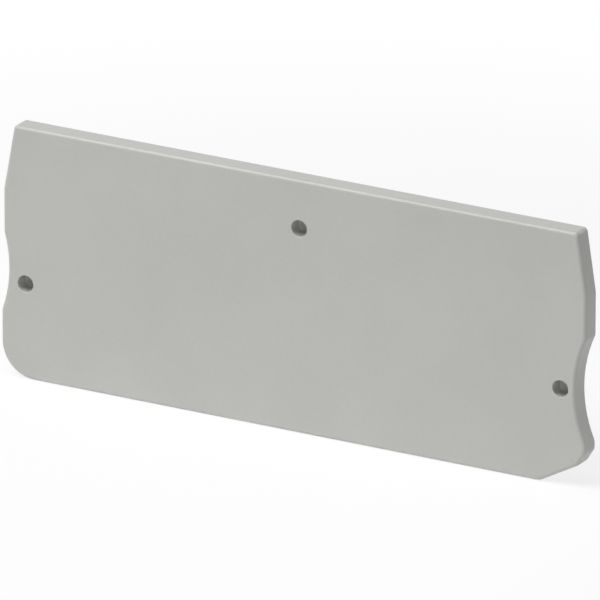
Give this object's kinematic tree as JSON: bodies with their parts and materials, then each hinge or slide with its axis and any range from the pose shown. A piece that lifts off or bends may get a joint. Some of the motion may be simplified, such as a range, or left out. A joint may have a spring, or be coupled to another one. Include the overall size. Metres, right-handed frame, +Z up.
{
  "type": "terminal block end cover",
  "caption": "Flat moulded plate that closes the open side of the last rail-mounted terminal block, with waisted ends and latching points.",
  "frame": {"origin": "middle of the back face's length and height, in the plane that seats on the block", "axes": "+X along the plate's length, to the right seen from the front; +Y out of the back face, into the block; +Z up, towards the marking edge"},
  "size_m": [0.072, 0.0037, 0.029],
  "materials": {
    "moulded_body": "light grey moulded plastic with a fine matt grain"
  },
  "bodies": {
    "root": {"end_cover": "moulded_body"}
  },
  "joints": []
}
